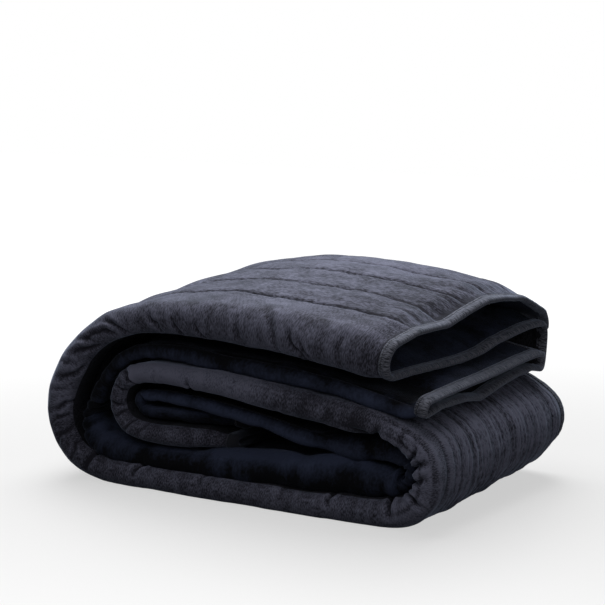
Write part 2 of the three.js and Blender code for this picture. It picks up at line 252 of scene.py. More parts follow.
# Creases of the face: from row and step, to row and step, half width and depth in millimetres. A depth
# under 0 is a ridge
FACE_CREASES = np.array(
    [
        (3.1, 14.2, 2.92, 16.2, 3.8, 4.6),
        (2.68, 14.9, 2.56, 16.6, 3, 3.8),
        (2.32, 15, 2.22, 16.8, 3, 4.1),
        (1.14, 14.2, 0.9, 17.2, 3.8, 4.9),
        (1.03, 14.7, 0.84, 17, 3, 4.1),
        (1.47, 12.2, 1.24, 16.6, 5.2, 3.5),
        (1.75, 14, 1.66, 16.4, 4.5, 2.6),
        (0.55, 13.5, 0.5, 16.5, 4.5, 2.3),
        (4, 13.6, 3.6, 16.4, 3.8, 4.6),
        (4.5, 14.2, 3.86, 15.8, 4.5, 4.9),
        (4.75, 13.8, 4.4, 15.4, 3.8, 3.2),
        (5.15, 14.4, 4.4, 16.6, 4.5, 5.5),
        (5.5, 14, 5.2, 15.8, 3.8, 3.2),
        (5.85, 14.6, 5.25, 17.4, 4.5, 5.2),
        (6.35, 14.4, 6.1, 16.4, 3.8, 3.5),
        (7.06, 14.6, 6.55, 17.6, 4.5, 4.6),
        (7.5, 14.4, 7.3, 17.4, 3.8, 3.8),
        (8.3, 14, 7.95, 17.4, 4.5, 4.3),
        (9, 14.4, 8.7, 17.6, 3.8, 3.2),
        (9.5, 14.4, 9.7, 18.2, 4.5, 6.1),
        (10.66, 15.6, 10.76, 18.4, 3.8, 5.5),
        (11.45, 15.2, 11.5, 17.6, 5.2, 2.6),
        (12.95, 15.8, 12.92, 18.2, 3.8, 5.2),
        (12.3, 14.8, 12.34, 17.4, 5.2, 2.3),
        (13.9, 15, 13.86, 18.6, 4.5, 7.2),
        (15, 14.4, 15.1, 18.4, 5.2, 8),
        (15.95, 14.6, 15.9, 18.4, 5.2, 6.7),
        (16.62, 14, 16.4, 18.4, 5.2, 8.1),
        (17.25, 13.6, 17.1, 18.2, 4.5, 5.8),
        (17.7, 13.4, 17.62, 16.6, 4.5, 2.9),
        (18.62, 15.8, 18.58, 18.8, 24, 7),
        (18.42, 14.8, 18.36, 18.8, 6, 6),
        (19.5, 14, 19.6, 16.6, 6, 2),
        (20.4, 14.4, 20.5, 17, 6, 2),
        (21.92, 15.2, 21.95, 18, 3.8, 4.9),
        (22.6, 14, 22.6, 16.8, 4.5, 2.3),
        (23.6, 12.4, 23.4, 17.4, 4.6, 7),
        (24.3, 13, 24.24, 17.4, 3, 4.1),
        (25, 13, 25.1, 17.4, 3, 4.3),
        (25.55, 13.4, 25.6, 17.6, 3, 3.8),
        (26.3, 13.6, 26.6, 17.4, 3, 3.5),
        (27, 14.4, 27.2, 17.4, 3.8, 2.6),
        (14.2, 5.8, 17.6, 6, 4, 1.2),
        (14.4, 9.7, 17.2, 9.5, 4, 1.2),
        (14.3, 7.9, 16.6, 7.6, 4, 1),
        (14.6, 4, 17.4, 3.8, 4, 1.2),
        (15, 11.5, 17, 11.2, 5, 1.2),
        (0.1, 9.8, 0.5, 9.5, 3.8, 1.4),
        (0.1, 8.1, 0.42, 8.3, 3.8, 1.4),
        (0.1, 7.3, 0.36, 7.2, 3, 1.3),
        (0.1, 5.9, 0.4, 6.1, 3.8, 1.3),
        (0.1, 4.2, 0.34, 4.1, 3.8, 1.1),
        (0.1, 11.3, 0.4, 11, 3.8, 1.3),
        (0.1, 10.4, 0.3, 10.3, 3, 1.1),
        (13.8, 9.5, 17.6, 9.4, 1.87, -1.62),
        (13.4, 8.25, 17.9, 8.2, 1.7, -1.89),
        (13.6, 7.75, 17.4, 7.7, 1.7, -1.485),
        (13.3, 7.2, 18.2, 7.25, 1.87, -1.89),
        (13.7, 6.4, 17.8, 6.3, 1.7, -1.62),
        (13.4, 5.6, 18.2, 5.55, 1.87, -1.89),
        (14, 5.05, 17, 5, 1.7, -1.35),
        (13.6, 4.45, 17.8, 4.5, 1.7, -1.755),
        (13.4, 3.75, 18, 3.8, 1.87, -1.89),
        (14, 2.9, 17.6, 2.95, 1.7, -1.485),
        (13.6, 1.6, 17.6, 1.55, 1.87, -1.755),
        (14.6, 10.3, 16.9, 10.2, 1.7, -1.35),
    ]
)

# Creases of the plush, in the same columns
REVERSE_CREASES = np.array(
    [
        (0.6, 46.4, 1.4, 50.5, 7, 2.4),
        (1.6, 46.2, 2.3, 50.8, 8, 2.2),
        (2.6, 46.6, 3.1, 50.0, 8, 2.4),
        (3.5, 46.0, 3.9, 51.0, 7, 2.8),
        (4.4, 45.6, 4.9, 50.5, 7, 2.6),
        (5.2, 46.0, 5.6, 51.0, 7, 2.8),
        (6.0, 45.6, 6.4, 50.5, 7, 2.8),
        (6.9, 46.0, 7.0, 51.0, 7, 2.6),
        (7.8, 45.6, 7.7, 50.5, 7, 2.8),
        (8.7, 46.0, 8.5, 51.0, 7, 3.0),
        (9.6, 45.6, 9.3, 50.5, 8, 2.6),
        (10.8, 46.2, 10.6, 50.0, 9, 2.4),
        (11.6, 46.0, 11.8, 50.5, 9, 2.2),
        (12.5, 46.2, 12.4, 50.5, 8, 2.6),
        (13.2, 45.4, 13.1, 50.5, 8, 4.0),
        (13.7, 45.4, 13.6, 50.5, 8, 4.4),
        (14.2, 45.0, 14.1, 51.0, 7, 4.0),
        (15.0, 45.4, 14.8, 51.0, 7, 3.4),
        (16.2, 45.6, 16.1, 51.0, 7, 2.8),
        (17.4, 45.6, 17.5, 51.0, 7, 2.8),
        (18.7, 46.0, 18.6, 51.0, 8, 3.0),
        (19.6, 46.2, 19.9, 50.5, 9, 2.4),
        (21.3, 46.2, 21.5, 50.5, 9, 1.8),
        (22.8, 46.0, 22.7, 50.5, 8, 2.0),
        (0.2, 1.0, 4.4, 1.2, 26, -8),
        (11.5, 46.0, 13.2, 46.0, 15, -10),
    ]
)
CREASE_BENDS = 3  # bends along a crease
CREASE_ENDS = 0.4  # share of its depth that is left at its ends
CREASE_LIP = 0.28  # height of the swelling on either side, by its depth
LIP_PLACE = 2.1  # where that swelling lies, in half widths from its middle

# Forms by place: rows or steps between which they set in or end
TOP_END = (5, 7)  # rows where the top of the roll ends
TOP_FRONT = (12.4, 14.6)  # steps where the top turns into the front fold
SWELL_FRONT = (11.4, 14)  # steps where the face's swelling ends
TURN_START = (13.4, 14.4)  # rows where the right turn's pleats set in
TURN_END = (18, 19)  # rows where they end
FOLD_SIDE = (46.6, 49.4)  # steps where the inner fold's hidden side starts
FOLD_END = (51.5, 56)  # steps where it ends
NOSE_START = (42.5, 44.5)  # steps where the part of that fold that looks out starts
NOSE_END = (49.5, 51.5)  # steps where it ends
CREST_STEP = 46.6  # step of that fold's crest
CREST_REACH = 1.3  # steps to either side in which it fades
# Painted shade: the binding is painted dark where it runs into the roll's end inside
PAINTED_SHADE_END = (LAST_ROW - 1, LAST_ROW - 0.5)  # rows where the binding darkens inside the roll

# Soft spots of painted light and painted shade on the top: row, reach in rows, step, reach in steps
PAINTED_LIGHT_SPOT = (1.5, 0.9, 4.8, 2)
PAINTED_SHADE_SPOT = (0.4, 0.6, 7.5, 2.4)

# Uneven forms over the cloth, each a sum of: strength, size along and across it in millimetres, seed
FACE_LUMPS = ((1, (60, 45), 12), (0.45, (26, 24), 15))
PLUSH_LUMPS = ((1, (48, 40), 24), (0.6, (22, 20), 27))
BRUSHED_PATCHES = ((1, (24, 13), 61), (0.7, (11, 7), 67))
PLEATS = ((1, (150, 6.5), 71),)
STROKES = ((1, (8, 40), 73),)

# Uneven forms along lines and edges, each a sum of: strength, length in millimetres, shift from one sewn line
# to the next in those lengths, seed
LINE_GATHERS = ((1, 8, 37, 3), (0.5, 4, 11, 5))
FACE_GATHERS = ((1, 7, 0, 8),)
PLUSH_GATHERS = ((1, 9, 0, 21),)
RIDGE_WAVES = ((0.5, 45, 23, 51),)
BINDING_RIPPLES = ((0.07, 6, 0, 31), (0.05, 17, 0, 33))

# How strong the forms are
RIDGE_MEAN = 0.8  # ridges, on average along a sewn line
LINE_MEAN = 0.55  # and over all the lines
LINE_CHANGE = 0.45  # how much they change from line to line
LINE_TURN = 5.1  # radians of that change from one line to the next
GATHER_SHARE = 0.6  # gathers beside a sewn line, by those beside the binding
TOP_CALM = 0.5  # share of the gathers beside the binding that is gone on the top
PLUSH_LOFT = 1.2  # height of the plush's lumps, by the face's

# The forms' sizes in millimetres
GROOVE_HALF = 2.4  # half width of the groove along a sewn line
GROOVE_SHADOW = 3  # half width of its shadow
RIDGE_OFFSET = 7  # distance of a ridge from its sewn line
GATHER_REACH = 12  # how far the gathers reach from a sewn line
EDGE_REACH = 26  # how far they reach from the binding
PLEAT_HEIGHT = 0.9  # height of the right turn's pleats
# A painted shadow line on the velvet just inside the binding
BINDING_SHADOW_LINE = (17, 3)  # place and half width of the dark line inside the binding
RIM_HALF = 2.8  # half the layer's thickness under the binding
RIM = (13, 46)  # distances from the edge between which the layer fills out
SWELL_RIM = (14, 55)  # the same for the face's swelling
RELIEF_RIM = (8, 30)  # the same for all relief

# How much darker each part of a form is painted: painted shade, and under 0 painted light. The velvet's
# brushed patches and strokes are its random tone
VELVET_SHADES = {
    "grooves": 0.55,
    "ridges": -0.3,
    "binding shadow line": 0.5,
    "brushed": 0.24,
    "painted light spot": -0.2,
    "painted shade spot": 0.24,
    "pleats": -0.45,
    "strokes": -0.2,
    "creases": -1 / 7,
}
# On the plush: painted shade where the inner fold sinks back, inside the folds and in creases, painted
# highlights on the fold's crest and on lumps
PLUSH_SHADES = {"lean": 0.45, "crest": -0.5, "lumps": -0.25, "inside": 0.2, "creases": -1 / 16}

# The binding's section: distance from the outer edge by the full width, half its thickness there by the full
# half, and how much darker it is painted, for painted shade at its inner edge and along its stitch line
BINDING_SECTION = [
    (1.04, 0.5, 0.9),
    (1.0, 0.92, 0),
    (0.9, 0.98, 0),
    (0.8, 0.86, 0.5),
    (0.74, 0.95, 0),
    (0.56, 1.04, 0),
    (0.36, 1.02, 0),
    (0.18, 0.86, 0),
    (0.07, 0.58, 0),
    (0.0, 0.0, 0),
]

# A stitch's rings: place along it by half its length, and thickness by the thread's
STITCH_RINGS = np.array([(-1, 0.35), (-0.6, 1), (0.6, 1), (1, 0.35)])
STITCH_SIDES = 6
STITCH_SINK = 0.9  # where the stitches lie, by half the binding's thickness
THREAD_SHADOW = 0.6  # colour between the thread's twists, by its own
STITCH_GAPS = (1.2, 2.6)  # least and most pitches between a stitch's neighbours; others lie at a corner

# The piles, by the inputs of their node group: sizes in metres, and the share of flecks to brushed patches
LENGTHWISE_PILE = {"Fleck length": 0.0026, "Fleck width": 0.0075, "Patch size": 0.024, "Fleck share": 0.7}
CROSSWISE_PILE = {"Fleck length": 0.006, "Fleck width": 0.0014, "Patch size": 0.02, "Fleck share": 0.7}
PLUSH_PILE = {"Fleck length": 0.004, "Fleck width": 0.004, "Patch size": 0.03, "Fleck share": 0.25}
BINDING_PILE = {"Fleck length": 0.008, "Fleck width": 0.0015, "Patch size": 0.03, "Fleck share": 0.9}

# What all piles share
PILE_SURFACE = {"Roughness": 0.9, "Specular IOR Level": 0.15}
PILE_HEIGHT = 0.0015  # height of their bump in metres

# The piles' node group: its sockets, and the noises that it mixes
PILE_SOCKETS = (
    ("Cloth", "INPUT", "Vector"),
    ("Light", "INPUT", "Color"),
    ("Dark", "INPUT", "Color"),
    ("Shade", "INPUT", "Float"),
    ("Fleck length", "INPUT", "Float"),
    ("Fleck width", "INPUT", "Float"),
    ("Patch size", "INPUT", "Float"),
    ("Fleck share", "INPUT", "Float"),
    ("Color", "OUTPUT", "Color"),
    ("Height", "OUTPUT", "Float"),
)
FLECK_NOISE = {"Scale": 1.0, "Detail": 3.0, "Roughness": 0.65}
PATCH_NOISE = {"Detail": 3.0, "Roughness": 0.55}
FUZZ_NOISE = {"Scale": 900.0, "Detail": 2.0}
FLECK_CONTRAST = {"From_Min": 0.41, "From_Max": 0.59}
PATCH_CONTRAST = {"From_Min": 0.28, "From_Max": 0.72}

# The studio in metres: each light's name, place, target, side and the setting that holds its power
LIGHTS = (
    ("top_softbox", (-0.5, 0.55, 1.7), (0, 0.05, 0.2), 1.9, "top_light"),
    ("front_fill", (0.55, -2.0, 1.7), (0, 0, 0.15), 1.4, "front_light"),
    ("right_fill", (2.3, -0.7, 1.1), (0.1, 0, 0.15), 1.4, "right_light"),
)
CAMERA_CENTRE = (0.003, 0, 0.14)  # the place that the camera stands round
CAMERA_AIM = (-0.0222, 0.0107, 0.2559)  # the place that it looks at
FLOOR_SIZE = 9
FLOOR_HEIGHT = -0.0005
# Painted light: the floor glows to the camera alone, less near the comforter and fully away from it
FLOOR_PAINTED_GLOW = {"From_Min": 0.3, "From_Max": 2.0, "To_Min": 0.58, "To_Max": 1.0}  # brighter by distance


def smoothstep(value, low, high):
    t = np.clip((value - low) / (high - low), 0, 1)
    return t * t * (3 - 2 * t)


def mix(a, b, share):
    return a + (b - a) * share


def bell(value, reach):
    """1 at 0, and less the further away on either side."""
    return np.exp(-((value / reach) ** 2))


def along_roll(row):
    """The roll's columns at row numbers that may lie between two rows, and how they change along it."""
    ends = np.vstack([2 * ROLL[0] - ROLL[1], ROLL, 2 * ROLL[-1] - ROLL[-2]])
    low = np.clip(np.floor(row).astype(int), 0, LAST_ROW - 1)
    t = (row - low)[..., None]
    p0, p1, p2, p3 = (ends[low + k] for k in range(4))
    b, c, d = p2 - p0, 2 * p0 - 5 * p1 + 4 * p2 - p3, 3 * p1 - p0 - 3 * p2 + p3
    value = p1 + 0.5 * (b * t + c * t**2 + d * t**3)
    change = 0.5 * (b + 2 * c * t + 3 * d * t**2)
    return value, change


def station(row):
    """Place, direction and thicknesses of the folded strip."""
    value, change = along_roll(row)
    place = {name: value[..., k] for k, name in enumerate(ROLL_COLUMNS)}
    length = np.hypot(change[..., 0], change[..., 1])
    place["along_x"], place["along_z"] = change[..., 0] / length, change[..., 1] / length
    from_end = np.hypot(*(ROLL[1, :2] - ROLL[0, :2])) * row
    place["open"] = np.maximum(0, 1 - from_end / REACH_FADE)
    place["waving"] = 1 - smoothstep(from_end, 0, WAVE_LENGTH)
    place["on_top"] = 1 - smoothstep(row, *TOP_ROWS)
    return place


def half_turn(share, centre_y, centre_h, radius, start, sense):
    turned = start + sense * np.pi * share
    y, h = centre_y + radius * np.cos(turned), centre_h + radius * np.sin(turned)
    return y, h, -sense * np.sin(turned), sense * np.cos(turned)


def sloped_turn(share, centre_y, centre_h, radius, start, sense, slope):
    """A half turn whose far end stands back by the slope."""
    y, h, along_y, along_h = half_turn(share, centre_y, centre_h, radius, start, sense)
    along_y, along_h = along_y * np.pi * radius + 2 * slope * share, along_h * np.pi * radius
    length = np.hypot(along_y, along_h)
    return y + slope * share**2, h, along_y / length, along_h / length


def straight(share, from_y, to_y, h):
    y = mix(from_y, to_y, share)
    return y, h + 0 * y, np.sign(to_y - from_y) + 0 * y, 0 * y


def layer_middle(step, place, loft):
    """The layer's middle in the strip's section: y, depth, direction, thickness, and 1 on the inner pair."""
    outer, inner, open_end = place["outer"], place["inner"], place["open"]
    total = outer + place["space"] + inner
    thick_outer, thick_inner = np.minimum(loft, PRESSED * outer), np.minimum(loft, PRESSED * inner)
    second_h, third_h = outer - thick_outer / 2, total - thick_inner / 2
    back_h = second_h - BACK_LIFT * (outer - 2 * thick_outer)
    outer_fold_y = FRONT + place["inset"] + outer / 2
    inner_fold_y = FRONT + place["inset"] + RECESS + inner / 2
    turn_radius = (third_h - back_h) / 2
    turn_y = BACK + BACK_FLARE * open_end - turn_radius - thick_outer / 2
    edge_y, free_y = FLAP_EDGE + FLAP_FLARE * open_end, INNER_EDGE + INNER_FLARE * open_end
    first, outer_fold, second, back_turn, third, inner_fold, fourth = (
        np.clip((step - low) / (high - low), 0, 1) for low, high in zip(LEG_ENDS[:-1], LEG_ENDS[1:])
    )
    quarter = np.pi / 2
    outer_turn = (outer_fold, outer_fold_y, outer / 2, (outer - thick_outer) / 2, -quarter, -1)
    far_turn = (back_turn, turn_y, (back_h + third_h) / 2, turn_radius, -quarter, 1)
    risen_h = mix(second_h, back_h, smoothstep(mix(outer_fold_y, turn_y, second), 0, turn_y))
    inner_turn = (inner_fold, inner_fold_y, total - inner / 2, (inner - thick_inner) / 2, quarter, 1)
    slope = INNER_SLOPE * inner
    inner_turn = sloped_turn(*inner_turn, slope)
    legs = [
        (*straight(first, edge_y, outer_fold_y, thick_outer / 2), thick_outer, 0),
        (*half_turn(*outer_turn), thick_outer, 0),
        (*straight(second, outer_fold_y, turn_y, risen_h), thick_outer, 0),
        (*half_turn(*far_turn), mix(thick_outer, thick_inner, back_turn), smoothstep(back_turn, 0, 1)),
        (*straight(third, turn_y, inner_fold_y, third_h), thick_inner, 1),
        (*inner_turn, thick_inner, 1),
        (*straight(fourth, inner_fold_y + slope, free_y, total - inner + thick_inner / 2), thick_inner, 1),
    ]
    shape = np.broadcast_shapes(step.shape, outer.shape)
    inside = [np.broadcast_to(step <= end, shape) for end in LEG_ENDS[1:]]
    picked = [np.select(inside, [np.broadcast_to(leg[k], shape) for leg in legs]) for k in range(6)]
    y, h, along_y, along_h, thick, reach = picked

    on_first = step <= LEG_ENDS[1]
    sunk = np.maximum(0, (y - FLAP_HINGE) / (edge_y - FLAP_HINGE))
    droop = FLAP_DROOP * (outer - 2 * thick_outer) * sunk**3
    lift = TOP_LIFT * place["on_top"] * np.sin(np.pi * first**TOP_LEAN) * smoothstep(first, 0, TOP_EDGE)
    waves = [np.interp(y, END_WAVES[:, 0], END_WAVES[:, k]) for k in range(1, 5)]
    wave = mix(waves[0], waves[1], outer_fold)
    wave = wave + back_turn * (waves[2] - waves[1]) + inner_fold * (waves[3] - waves[2])
    h = h + np.where(on_first, droop - lift, 0) - wave * place["waving"]
    return y, h, along_y, along_h, thick, reach


def sheet_points(row, step, side, half, loft):
    """Points of the folded and rolled sheet, in metres. Side is 1 on its face and -1 on its reverse."""
    place = station(row)
    y, h, along_y, along_h, _, reach = layer_middle(step, place, loft)
    y = y - along_h * half * side
    h = h + along_y * half * side
    to_back = (y - FRONT) / (BACK - FRONT)
    corner = CORNER_ROUND * np.clip((y - CORNER_Y[0]) / (CORNER_Y[1] - CORNER_Y[0]), 0, 1) ** 2
    shift = (INNER_REACH * reach * (1 - INNER_SKEW * to_back) + END_SKEW * to_back - corner) * place["open"]
    x = place["x"] - place["along_z"] * h - place["along_x"] * shift
    z = place["z"] + place["along_x"] * h - place["along_z"] * shift
    swell = 1 - ((x - CROWN_X) / CROWN_REACH_X) ** 2
    z = z * (1 + CROWN * swell * np.sin(np.pi / 2 * (y - FRONT) / CROWN_REACH_Y))
    z = z + HEEL_LIFT * to_back * smoothstep(x, *HEEL_X) * (1 - smoothstep(z, *HEEL_Z))
    lower = smoothstep(step, *LEAN_STEPS) * (1 - smoothstep(step, *LEAN_END))
    y = y - TURN_LEAN * lower * place["open"] * np.clip(to_back, 0, 1) ** 2
    return np.stack([x, y, np.maximum(0, z)], axis=-1) * MM


# Close places along the roll, to measure it by
DENSE_ROWS = np.linspace(0, LAST_ROW, 4001)
DENSE_PLACES = along_roll(DENSE_ROWS)[0][:, :2]
DENSE_LENGTHS = np.concatenate([[0], np.cumsum(np.hypot(*np.diff(DENSE_PLACES, axis=0).T))])
STRIP_LENGTH = DENSE_LENGTHS[-1]


def length_at(row):
    """Millimetres along the strip from its open end."""
    return np.interp(row, DENSE_ROWS, DENSE_LENGTHS)


def row_at(length):
    return np.interp(length, DENSE_LENGTHS, DENSE_ROWS)


def width_at(step):
    """Millimetres across the flat sheet from the outermost layer's side edge."""
    return np.interp(step, LEG_ENDS, FLAT_ACROSS)


def step_at(width):
    return np.interp(width, FLAT_ACROSS, LEG_ENDS)


def wander(place, seed, count=2048):
    """Smooth uneven numbers from -1 to 1 along a line, with one turn in about two units."""
    lattice = np.random.RandomState(seed).uniform(-1, 1, count)
    low = np.floor(place).astype(int)
    return mix(lattice[low % count], lattice[(low + 1) % count], smoothstep(place - low, 0, 1))


def ripples(place, parts, line=0, mean=0):
    """The same in millimetres and about a mean, as a sum of parts."""
    numbers = (strength * wander(place / size + shift * line, seed) for strength, size, shift, seed in parts)
    return sum(numbers, mean)


def lumps(length, width, parts, count=256):
    """The same over the cloth."""
    total = 0
    for strength, size, seed in parts:
        lattice = np.random.RandomState(seed).uniform(-1, 1, (count, count))
        along, across = length / size[0], width / size[1]
        i, j = np.floor(along).astype(int), np.floor(across).astype(int)
        s, t = smoothstep(along - i, 0, 1), smoothstep(across - j, 0, 1)
        i, j, next_i, next_j = (k % count for k in (i, j, i + 1, j + 1))
        low = mix(lattice[i, j], lattice[next_i, j], s)
        high = mix(lattice[i, next_j], lattice[next_i, next_j], s)
        total = total + strength * mix(low, high, t)
    return total


def channel_puff(step):
    """Share of the loft at a step: 0 along a sewn line and 1 between two."""
    index = np.clip(np.searchsorted(SEWN_STEPS, step, side="right") - 1, 0, len(SEWN_STEPS) - 2)
    share = (step - SEWN_STEPS[index]) / (SEWN_STEPS[index + 1] - SEWN_STEPS[index])
    return np.sqrt(np.sin(np.pi * np.clip(share, 0, 1)))


def from_edge(row, step):
    """Millimetres of cloth between a place on the sheet and the nearest bound edge."""
    length, width = length_at(row), width_at(step)
    ends = np.minimum(length, STRIP_LENGTH - length)
    return np.minimum(ends, np.minimum(width, FLAT_ACROSS[-1] - width))


def along_edge(row, step):
    """Millimetres of cloth along the edges, for a place near one."""
    length, width = length_at(row), width_at(step)
    return np.where(length < from_edge(row, step) + 1, width, length)


def from_sewn_line(step):
    """Millimetres of cloth to the nearest sewn line, and that line's number."""
    widths = width_at(SEWN_STEPS[1:-1])
    gaps = np.abs(width_at(step)[..., None] - widths)
    return gaps.min(axis=-1), gaps.argmin(axis=-1)


def creased(row, step, creases):
    """Millimetres that a panel sinks in at its creases, with a low swelling on either side."""
    length, width = length_at(row), width_at(step)
    sunk = 0 * length + 0 * width
    for index, (from_row, from_step, to_row, to_step, half, depth) in enumerate(creases):
        start = length_at(from_row), width_at(from_step)
        run = length_at(to_row) - start[0], width_at(to_step) - start[1]
        span = np.hypot(*run)
        share = np.clip(((length - start[0]) * run[0] + (width - start[1]) * run[1]) / span**2, 0, 1)
        bend = half * wander(CREASE_BENDS * (share + 3 * index), seed=41) / span
        off_length = length - start[0] - share * run[0] + bend * run[1]
        off_width = width - start[1] - share * run[1] - bend * run[0]
        gap = np.hypot(off_length, off_width) / half
        deep = depth * mix(CREASE_ENDS, 1, np.sin(np.pi * share))
        sunk = sunk - deep * (bell(gap, 1) - CREASE_LIP * bell(gap - LIP_PLACE, 1))
    return sunk


def measure(name, description, default, unit="LENGTH"):
    return bpy.props.FloatProperty(name=name, description=description, default=default, unit=unit)


def angle(name, description, degrees):
    return bpy.props.FloatProperty(
        name=name, description=description, default=math.radians(degrees), subtype="ANGLE"
    )


def colour(name, description, default):
    return bpy.props.FloatVectorProperty(
        name=name, description=description, default=default, size=4, subtype="COLOR", min=0, max=1
    )


class QuiltSettings(bpy.types.PropertyGroup):
    loft: measure("Loft", "Thickness of one filled layer where nothing presses on it", 0.018)
    ridge: measure("Ridge", "Height of the thin ridges beside a sewn line, where the cloth is taut", 0.0013)
    swell: measure("Swelling", "How far the face swells out inside its bound edge, at the most", 0.0065)
    nose: measure("Fold drop", "How far the inner fold's upper side sinks in behind its lower side", 0.014)
    crest: measure("Fold crest", "How far that fold's lower side swells out on the layers below", 0.009)
    groove: measure("Groove", "Depth of the narrow groove that the thread pulls into the face", 0.0016)
    pucker: measure("Pucker", "Height of the small gathers beside sewn lines and binding", 0.0012)
    lump: measure("Lumps", "Height of the soft unevenness of the filling", 0.0016)


class BindingSettings(bpy.types.PropertyGroup):
    width: measure("Width", "Width of the folded binding", 0.0152)
    thickness: measure("Thickness", "Thickness of the bound edge", 0.0085)
    point_spacing: measure("Point spacing", "Distance between the binding's sections along the edge", 0.005)
    stitch_inset: measure("Stitch inset", "Distance of the stitching from the outer edge", 0.0128)
    stitch_length: measure("Stitch length", "Visible length of one stitch", 0.0032)
    stitch_pitch: measure("Stitch pitch", "Distance from one stitch to the next", 0.0045)
    thread: measure("Thread", "Thickness of the thread", 0.0009)


class FinishSettings(bpy.types.PropertyGroup):
    # Each cloth's colour lies between its light and dark flecks; painted shade and painted light move it
    # towards one or the other
    velvet_light: colour("Velvet light", "Light flecks of the velvet face", (0.113, 0.116, 0.163, 1))
    velvet_dark: colour("Velvet dark", "Dark flecks of the velvet face", (0.0135, 0.0128, 0.0192, 1))
    # A darker copy of the velvet with little sheen, for its folds: painted shade
    shaded_fold_light: colour("Shaded fold light", "Light flecks of velvet in the folds, painted dark for their shade", (0.03, 0.031, 0.04, 1))
    shaded_fold_dark: colour("Shaded fold dark", "Dark flecks of velvet in the folds, painted dark for their shade", (0.004, 0.004, 0.006, 1))
    velvet_sheen: colour("Velvet sheen", "Tint of the velvet's sheen", (0.58, 0.7, 0.96, 1))
    # The plush's light and dark flecks and patches are partly its own tone and partly painted highlights and
    # painted shade
    plush_light_and_highlight: colour("Plush light and highlight", "Light flecks of the reverse, also its painted highlights", (0.029, 0.037, 0.07, 1))
    plush_dark_and_shade: colour("Plush dark and shade", "Dark flecks of the reverse, also its painted shade", (0.0016, 0.0019, 0.0036, 1))
    plush_sheen: colour("Plush sheen", "Tint of the plush's sheen", (0.5, 0.6, 0.85, 1))
    binding_light: colour("Binding light", "Light flecks of the binding", (0.125, 0.13, 0.162, 1))
    binding_dark: colour("Binding dark", "Dark flecks of the binding", (0.012, 0.0125, 0.017, 1))
    thread: colour("Thread", "Thread of the binding's stitching", (0.1, 0.105, 0.13, 1))
    floor: colour("Floor", "Studio floor", (0.16, 0.16, 0.16, 1))


class StudioSettings(bpy.types.PropertyGroup):
    azimuth: angle("Azimuth", "How far round from the front the camera stands", 32.5)
    elevation: angle("Elevation", "How far above the horizon the camera stands", 11.0)
    distance: measure("Distance", "From the camera to the comforter", 3.0)
    lens: measure("Lens", "Focal length on a sensor 36 mm wide", 119.0, unit="CAMERA")
    top_light: measure("Top light", "Power of the large light above", 67.0, unit="POWER")
    front_light: measure("Front light", "Power of the light above the camera", 12.0, unit="POWER")
    right_light: measure("Right light", "Power of the light at the right", 6.0, unit="POWER")
    ambient: measure("Ambient", "Strength of the light from all round", 0.07, unit="NONE")


def new_mesh_piece(name, points, faces, uv, material, shade=None):
    """A smooth mesh object with a map of the flat cloth, in metres, and its painted shade and light, with the
    cloth's random tone, from point to point.
    """
    mesh = bpy.data.meshes.new(name)
    mesh.from_pydata(points.tolist(), [], faces.tolist())
    layer = mesh.uv_layers.new(name="cloth")
    corner = np.zeros(len(mesh.loops), np.int32)
    mesh.loops.foreach_get("vertex_index", corner)
    layer.data.foreach_set("uv", uv[corner].astype(np.float32).ravel())
    if shade is not None:
        attribute = mesh.attributes.new("shade", "FLOAT", "POINT")
        attribute.data.foreach_set("value", shade.astype(np.float32).ravel())
    mesh.polygons.foreach_set("use_smooth", np.ones(len(mesh.polygons), bool))
    mesh.materials.append(material)
    mesh.update()
    piece = bpy.data.objects.new(name, mesh)
    bpy.context.collection.objects.link(piece)
    return piece


def grid_faces(rows, columns, closed=False):
    """Quads of a grid of points, row by row. A closed grid joins its last row to its first."""
    i, j = np.meshgrid(np.arange(rows if closed else rows - 1), np.arange(columns - 1), indexing="ij")
    i, j = i.ravel(), j.ravel()
    here, after = i * columns + j, (i + 1) % rows * columns + j
    return np.stack([here, here + 1, after + 1, after], axis=1)


def panel_steps(spacing, grooves):
    """Steps of the section at which a panel has points, closer together where it shows."""
    rim = step_at(np.array([PANEL_RIM, FLAT_ACROSS[-1] - PANEL_RIM]))
    low, high = max(spacing[0][0], rim[0]), min(spacing[-1][1], rim[1])
    steps = [np.arange(start, end, gap) for start, end, gap in spacing]
    if grooves:
        steps += [step_at(width_at(SEWN_STEPS) + offset) for offset in GROOVE_OFFSETS]
    inside = np.sort(np.concatenate(steps))
    inside = inside[(inside > low + LAST_GAP) & (inside < high - LAST_GAP)]
    inside = inside[np.diff(inside, prepend=low) > LEAST_GAP]
    return np.concatenate([[low], inside, [high]])


def fold_lean(row, step):
    """Share of the fold drop by which the inner fold's sheet stands back at a place."""
    upper = smoothstep(step, *FOLD_SIDE) * (1 - smoothstep(step, *FOLD_END))
    return upper * np.interp(row, *FOLD_DROP.T)


def spot(row, step, place):
    middle_row, rows, middle_step, steps = place
    return bell(row - middle_row, rows) * bell(step - middle_step, steps)


def shade_of(parts, shades):
    """How much darker a form is painted, from how strong each of its parts is."""
    return sum(shades[part] * amount for part, amount in parts.items())


